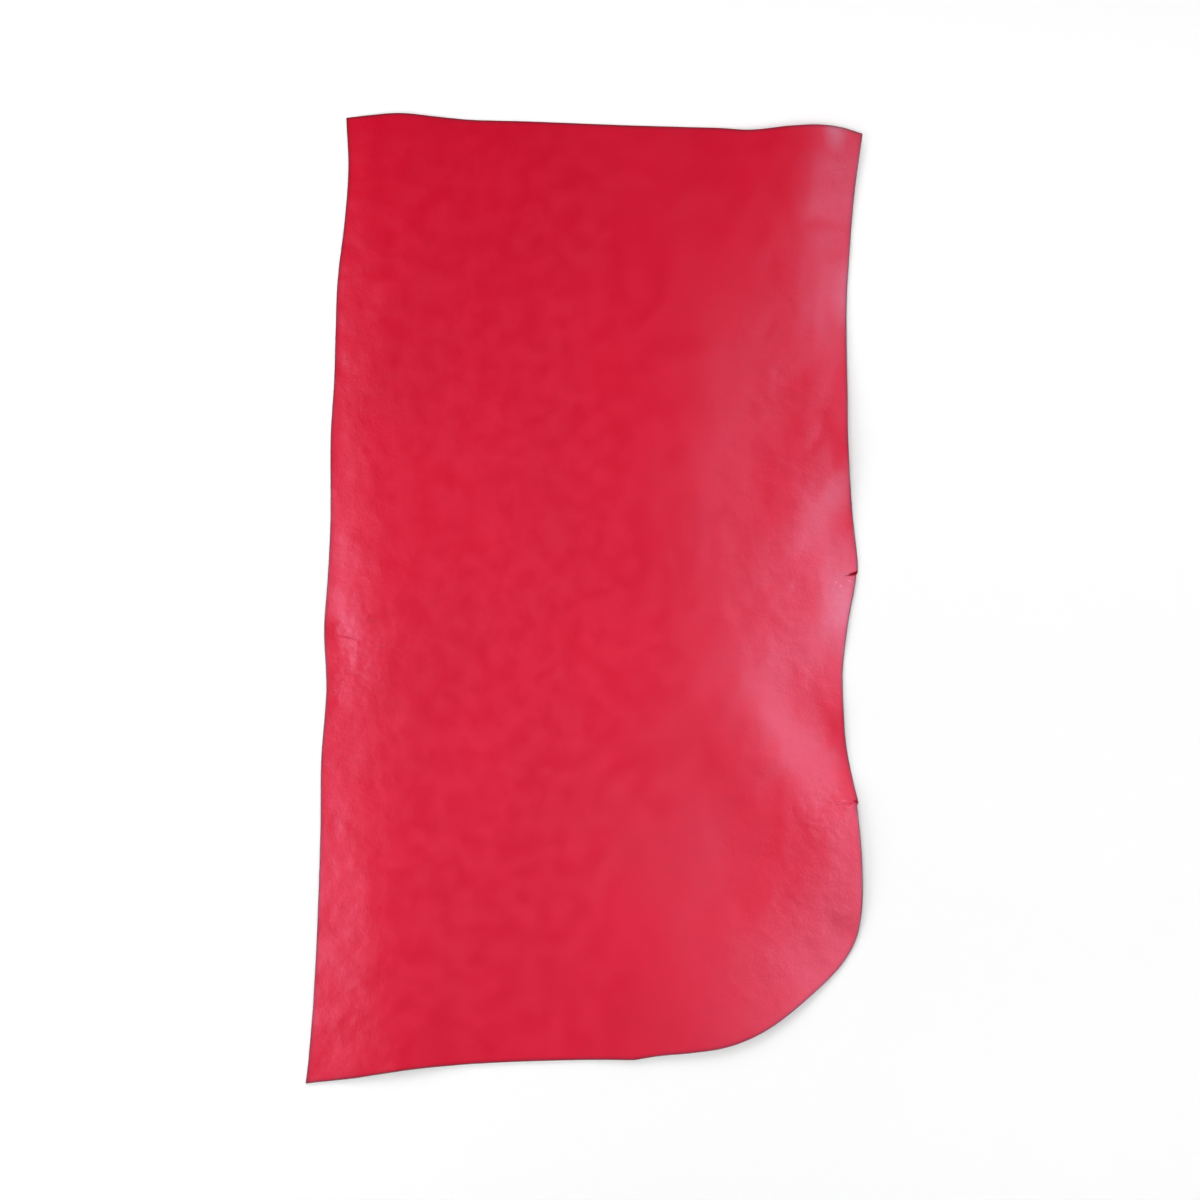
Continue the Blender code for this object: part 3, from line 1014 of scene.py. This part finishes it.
# %% [markdown]
# ## The cut edge and the flesh side
#
# The cut shows the inside of the skin: packed fibres that lie mostly along the sheet, darker where
# the dye pooled in them. A noise that is stretched along the sheet gives those layers. The flesh
# side is a short suede nap, paler and dull, with a soft glow at a low angle that velvet also has,
# which the shader's sheen gives.

# %% Cut edge: layers of fibre
PACKED_DARK, PACKED_LIGHT = (0.12, 0.004, 0.012, 1.0), (0.26, 0.012, 0.026, 1.0)
LAYER_SIZE, LAYER_FLATNESS = 1.6 * MM, 8.0
STRAND_SIZE, STRAND_SHARE = 0.35 * MM, 0.6      # and their share of the relief
CUT_DEPTH, CUT_ROUGHNESS, CUT_GLOSS = 0.15 * MM, (0.62, 0.8), 0.35


def squeezed(tree, place, flatness):
    """The place with its height drawn out, so that a noise read there lies in thin layers."""
    return add_node(tree, "ShaderNodeMapping", Vector=place, Scale=(1.0, 1.0, flatness)).outputs[0]


def finish_cut_edge():
    """Maroon layers along the sheet with fine strands in them."""
    tree, shader, place = fresh_shader(CUT_EDGE)
    layers = noise(tree, squeezed(tree, place, LAYER_FLATNESS), LAYER_SIZE, FINE)
    strands = noise(tree, place, STRAND_SIZE)
    colour = blend(tree, drift(tree, layers, 0.0, 1.0), PACKED_DARK, PACKED_LIGHT)
    connect(tree, colour, shader["Base Color"])
    connect(tree, drift(tree, strands, *CUT_ROUGHNESS), shader["Roughness"])
    shader["Specular IOR Level"].default_value = CUT_GLOSS
    height = calculate(tree, "ADD", layers, calculate(tree, "MULTIPLY", strands, STRAND_SHARE))
    connect(tree, bump(tree, height, CUT_DEPTH), shader["Normal"])


finish_cut_edge()
print("cut edge:", len(CUT_EDGE.node_tree.nodes), "nodes")

# %% Flesh side: a short nap
NAP_DOWN, NAP_UP = (0.42, 0.022, 0.045, 1.0), (0.52, 0.045, 0.07, 1.0)
STROKE_SIZE, STROKE_BEND = 60 * MM, 0.6
TUFT_SIZE, TUFT_DEPTH, TUFT_BAND = 0.8 * MM, 0.3 * MM, (0.25, 0.75)
TUFT_SHADOW, TUFT_SHADOW_SHARE = (0.25, 0.01, 0.025, 1.0), 0.35
NAP_RIM_BAND = (1.0 * MM, 3.0 * MM)
NAP_ROUGHNESS, NAP_GLOSS = (0.85, 0.95), 0.2
NAP_GLOW, NAP_GLOW_SPREAD, NAP_GLOW_TINT = 0.35, 0.5, (1.0, 0.55, 0.6, 1.0)


def finish_flesh_side():
    """Dull suede, stroked paler and darker in broad sweeps."""
    tree, shader, place = fresh_shader(FLESH_SIDE)
    stroked = noise(tree, place, STROKE_SIZE, FINE, STROKE_BEND)
    tufts = noise(tree, place, TUFT_SIZE, FINE)
    colour = blend(tree, drift(tree, stroked, 0.0, 1.0), NAP_DOWN, NAP_UP)
    in_shadow = stretch(tree, tufts, *TUFT_BAND, TUFT_SHADOW_SHARE, 0.0)
    colour = blend(tree, in_shadow, colour, TUFT_SHADOW)
    rim = stretch(tree, mesh_number(tree, "edge_distance"), *NAP_RIM_BAND, 1.0, 0.0)
    connect(tree, blend(tree, rim, colour, EDGE_MAROON), shader["Base Color"])
    connect(tree, drift(tree, tufts, *NAP_ROUGHNESS), shader["Roughness"])
    shader["Specular IOR Level"].default_value = NAP_GLOSS
    shader["Sheen Weight"].default_value = NAP_GLOW
    shader["Sheen Roughness"].default_value = NAP_GLOW_SPREAD
    shader["Sheen Tint"].default_value = NAP_GLOW_TINT
    connect(tree, bump(tree, tufts, TUFT_DEPTH), shader["Normal"])


finish_flesh_side()
print("flesh side:", len(FLESH_SIDE.node_tree.nodes), "nodes")

# %% [markdown]
# ## Loose fibres along the cut edge
#
# Run a finger along a cut edge and it feels slightly furry: short ends of fibre stand out of its
# lower half, where the cloth didn't burnish it. Hair particles could draw them, but they don't
# export. Geometry Nodes scatter one small pointed fibre over the edge's lower faces instead, with
# a fixed seed, and each fibre becomes real mesh. They lie down on the table where they would pass
# through it.

# %% The tree that scatters fibres
LOOSE_FIBRE = bpy.data.materials.new("red leather, loose fibre")
FIBRE_LEVELS = (0.04, 0.5)      # levels in the thickness that fibres grow from
FIBRE_SIDES = 4
TIP_SHARE = 0.1                 # a tip's radius, as a share of the fibre's thickness
FIBRE_LEAN = 0.9                # the most a fibre leans each way, in radians
SHORTEST_SHARE = 0.4            # the shortest fibre, as a share of the longest
TABLE_CLEARANCE = 0.05 * MM
SCATTER_SEED, LEAN_SEED_X, LEAN_SEED_Y, LENGTH_SEED = 7, 1, 2, 3


def random_number(tree, low, high, seed):
    """A number from low to high, another one for each fibre."""
    node = tree.nodes.new("FunctionNodeRandomValue")
    node.data_type = "FLOAT"
    node.inputs[2].default_value = low
    node.inputs[3].default_value = high
    node.inputs["Seed"].default_value = seed
    return node.outputs[1]


def scattered_fibres(tree, inputs):
    """One pointed fibre on many places of the edge's lower half, each leaning its own way."""
    on_lower_half = is_between(tree, stored_number(tree, "level"), *FIBRE_LEVELS)
    scatter = add_node(
        tree, "GeometryNodeDistributePointsOnFaces", Mesh=inputs["Geometry"],
        Selection=on_lower_half, Density=inputs["Fibres per square metre"], Seed=SCATTER_SEED,
    )
    scatter.distribute_method = "RANDOM"
    fibre = add_node(tree, "GeometryNodeMeshCone", Vertices=FIBRE_SIDES, Depth=inputs["Length"])
    for label, share in (("Radius Bottom", 0.5), ("Radius Top", TIP_SHARE)):
        connect(tree, calculate(tree, "MULTIPLY", inputs["Thickness"], share), fibre.inputs[label])
    lean = tree.nodes.new("FunctionNodeRotateRotation")
    lean.rotation_space = "LOCAL"
    connect(tree, scatter.outputs["Rotation"], lean.inputs["Rotation"])
    connect(tree, point_of(tree, random_number(tree, -FIBRE_LEAN, FIBRE_LEAN, LEAN_SEED_X),
                           random_number(tree, -FIBRE_LEAN, FIBRE_LEAN, LEAN_SEED_Y), 0.0),
            lean.inputs["Rotate By"])
    length_share = random_number(tree, SHORTEST_SHARE, 1.0, LENGTH_SEED)
    return add_node(
        tree, "GeometryNodeInstanceOnPoints", Points=scatter.outputs["Points"],
        Instance=fibre.outputs["Mesh"], Rotation=lean.outputs[0],
        Scale=point_of(tree, 1.0, 1.0, length_share),
    ).outputs[0]


def fibre_tree():
    """Short pointed fibres on the lower half of the cut edge, above the table."""
    tree, inputs, outputs = new_tree(
        "edge fibres",
        (("Geometry", "Geometry"), ("Fibres per square metre", "Float"), ("Length", "Float"),
         ("Thickness", "Float")),
        (("Geometry", "Geometry"),),
    )
    real = add_node(tree, "GeometryNodeRealizeInstances", Geometry=scattered_fibres(tree, inputs))
    up = on_axis(tree, tree.nodes.new("GeometryNodeInputPosition").outputs[0], "Z")
    lift = calculate(tree, "SUBTRACT", calculate(tree, "MAXIMUM", up, TABLE_CLEARANCE), up)
    lifted = add_node(tree, "GeometryNodeSetPosition", Geometry=real.outputs[0],
                      Offset=point_of(tree, 0.0, 0.0, lift))
    finished = add_node(tree, "GeometryNodeSetMaterial", Geometry=lifted.outputs[0],
                        Material=LOOSE_FIBRE)
    connect(tree, finished.outputs[0], outputs["Geometry"])
    return tree


fibres = made_by(
    fibre_tree(), "edge_fibres", hide.data.copy(),
    **{"Fibres per square metre": 500000.0, "Length": 1.5 * MM, "Thickness": 0.14 * MM},
)
print("fibre faces:", len(fibres.data.polygons))

# %% Fibre finish
FIBRE_DARK, FIBRE_LIGHT = (0.14, 0.006, 0.014, 1.0), (0.34, 0.02, 0.035, 1.0)
FIBRE_TONE_SIZE, FIBRE_ROUGHNESS, FIBRE_GLOSS = 6 * MM, 0.8, 0.2


def finish_loose_fibre():
    """The cut edge's own colours, a little lighter, in tufts of one tone."""
    tree, shader, place = fresh_shader(LOOSE_FIBRE)
    tone = drift(tree, noise(tree, place, FIBRE_TONE_SIZE), 0.0, 1.0)
    connect(tree, blend(tree, tone, FIBRE_DARK, FIBRE_LIGHT), shader["Base Color"])
    shader["Roughness"].default_value = FIBRE_ROUGHNESS
    shader["Specular IOR Level"].default_value = FIBRE_GLOSS


finish_loose_fibre()
print("loose fibre:", len(LOOSE_FIBRE.node_tree.nodes), "nodes")

# %% [markdown]
# ## Tell the frame what the pieces are
#
# The hide is one laid sheet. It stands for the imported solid, and its fibres go with it.

for piece in (hide, fibres):
    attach(piece, "root")
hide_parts("hide")

# %% [markdown]
# ## The studio
#
# The photograph was taken from straight above, on a white ground, with soft light from both sides.
# Two long soft boxes stand along the hide's length, left and right, and their reflections run down
# the swells as the broad pink sheen. Three wide lamps, above, left and right, and daylight from a
# window beyond the head end light the hide and draw the soft shadow along its lower and right
# edges.
#
# One lamp could do both jobs, but then every change to the light would move the sheen. So each
# lamp here is seen either by diffuse or by glossy rays, never by both. Multiple importance
# sampling is off for them, because it lets a lamp that glossy rays should not see add sheen all
# the same. The ground glows a little at both ends and far out, so that it stays white as far as
# the picture goes.

# %% White ground
GROUND_REACH = 60.0
GROUND_DROP = 0.2 * MM
GROUND_WHITE = (0.875, 0.875, 0.875, 1.0)
GROUND_ROUGHNESS = 0.9
GLOW_WHITE = (1.0, 1.0, 1.0, 1.0)
# Each glow's strength, and between which places it fades in or out, in metres.
HEAD_GLOW, HEAD_GLOW_BAND = 0.2, (-0.2, 0.9)
BUTT_GLOW, BUTT_GLOW_BAND = 0.05, (-0.9, -0.4)
FAR_GLOW, FAR_GLOW_BAND = 0.7, (1.2, 2.3)   # round the hide, for a look from the side


def white_ground():
    """A wide white plane just under the hide."""
    reach, low = GROUND_REACH, -GROUND_DROP
    mesh = bpy.data.meshes.new("ground")
    mesh.from_pydata(
        [(-reach, -reach, low), (reach, -reach, low), (reach, reach, low), (-reach, reach, low)],
        [], [(0, 1, 2, 3)],
    )
    ground = bpy.data.objects.new("ground", mesh)
    bpy.context.scene.collection.objects.link(ground)
    material = bpy.data.materials.new("white ground")
    tree, shader, place = fresh_shader(material)
    shader["Base Color"].default_value = GROUND_WHITE
    shader["Roughness"].default_value = GROUND_ROUGHNESS
    shader["Specular IOR Level"].default_value = 0.0
    shader["Emission Color"].default_value = GLOW_WHITE
    along = on_axis(tree, place, "Y")
    glow = calculate(tree, "ADD", stretch(tree, along, *HEAD_GLOW_BAND, 0.0, HEAD_GLOW),
                     stretch(tree, along, *BUTT_GLOW_BAND, BUTT_GLOW, 0.0))
    far = stretch(tree, vector_math(tree, "LENGTH", place), *FAR_GLOW_BAND, 0.0, FAR_GLOW)
    connect(tree, calculate(tree, "MAXIMUM", glow, far), shader["Emission Strength"])
    mesh.materials.append(material)
    return ground


white_ground()
print("ground reaches, m:", GROUND_REACH)

# %% Soft boxes
Lamp = namedtuple("Lamp", "name place target length width power light sheen")
# Place, target, length and width in metres, power in watts, and whether the lamp gives light,
# sheen or both.
LAMPS = (
    Lamp("left sheen", (-1.09, -0.40, 1.16), (0, -0.45, 0), 1.75, 0.20, 15.6, False, True),
    Lamp("right sheen", (0.94, -0.16, 1.54), (0.2, -0.05, 0), 2.18, 0.63, 22.7, False, True),
    Lamp("overhead light", (0.1, -0.3, 2.3), (0.1, -0.25, 0), 2.4, 1.8, 27.3, True, False),
    Lamp("left light", (-1.6, -0.10, 0.9), (0, -0.15, 0), 1.9, 1.0, 19.3, True, False),
    Lamp("right light", (1.5, -0.3, 1.5), (0.1, -0.2, 0), 2.2, 1.0, 15.6, True, False),
)


def hang(light, name, aim):
    """A lamp in the scene that shines along aim and never shows in the picture itself."""
    lamp = bpy.data.objects.new(name, light)
    lamp.rotation_euler = Vector(aim).to_track_quat("-Z", "Y").to_euler()
    lamp.visible_camera = False
    bpy.context.scene.collection.objects.link(lamp)
    return lamp


for row in LAMPS:
    light = bpy.data.lights.new(row.name, "AREA")
    light.shape = "RECTANGLE"
    light.size = row.length
    light.size_y = row.width
    light.energy = row.power
    lamp = hang(light, row.name, Vector(row.target) - Vector(row.place))
    lamp.location = row.place
    lamp.visible_glossy = row.sheen
    lamp.visible_diffuse = row.light
    light.cycles.use_multiple_importance_sampling = False
print("soft boxes:", ", ".join(row.name for row in LAMPS))

# %% Daylight from a window, low and from the top
WINDOW_HEIGHT = math.radians(20)
WINDOW_SIDE = math.radians(17)
WINDOW_POWER, WINDOW_WIDTH = 2.2, math.radians(25)

window = bpy.data.lights.new("window", "SUN")
window.energy = WINDOW_POWER
window.angle = WINDOW_WIDTH
daylight = hang(window, "window", (
    math.sin(WINDOW_SIDE) * math.cos(WINDOW_HEIGHT),
    -math.cos(WINDOW_SIDE) * math.cos(WINDOW_HEIGHT),
    -math.sin(WINDOW_HEIGHT),
))
daylight.visible_glossy = False
print("daylight comes in at, degrees:", round(math.degrees(WINDOW_HEIGHT)))

# %% The room's own light
ROOM_LIGHT = 0.06
BACKDROP_WHITE = 0.92       # what a camera low enough to look past the ground sees

world = bpy.data.worlds.new("studio")
bpy.context.scene.world = world
world.use_nodes = True
background = world.node_tree.nodes["Background"]
background.inputs["Color"].default_value = GLOW_WHITE
path = world.node_tree.nodes.new("ShaderNodeLightPath")
connect(world.node_tree, calculate(
    world.node_tree, "MULTIPLY_ADD", path.outputs["Is Camera Ray"], BACKDROP_WHITE - ROOM_LIGHT,
    ROOM_LIGHT,
), background.inputs["Strength"])
world.cycles_visibility.glossy = False
bpy.context.scene.view_settings.view_transform = "Standard"
print("the room's own light:", ROOM_LIGHT)

# %% [markdown]
# ## The camera
#
# A camera straight above sees the hide as the photograph does. Its lens follows from one number:
# how wide the picture is on the table, 1.395 mm for each of its 1200 pixels.

# %% Camera straight above
PICTURE_WIDTH = 1200 * 1.395 * MM
CAMERA_HEIGHT = 2.5
PICTURE_MIDDLE = (21.6 * MM, -2.1 * MM)     # measured as the outline's points are

camera_data = bpy.data.cameras.new("camera above")
camera_data.type = "PERSP"
camera_data.lens = camera_data.sensor_width * CAMERA_HEIGHT / PICTURE_WIDTH
camera = bpy.data.objects.new("camera above", camera_data)
camera.location = (
    PICTURE_MIDDLE[0] - middle[0], PICTURE_MIDDLE[1] - middle[1], CAMERA_HEIGHT,
)
bpy.context.scene.collection.objects.link(camera)
bpy.context.scene.camera = camera
print("lens, mm:", round(camera_data.lens, 1))

# %% [markdown]
# ## Bring the scene up to date
#
# The view layer is updated once more, after every piece is in place. The finished pieces may go
# past the imported model only by the thickness of a wrinkle or a fibre.

# %% Bring the scene up to date
bpy.context.view_layer.update()
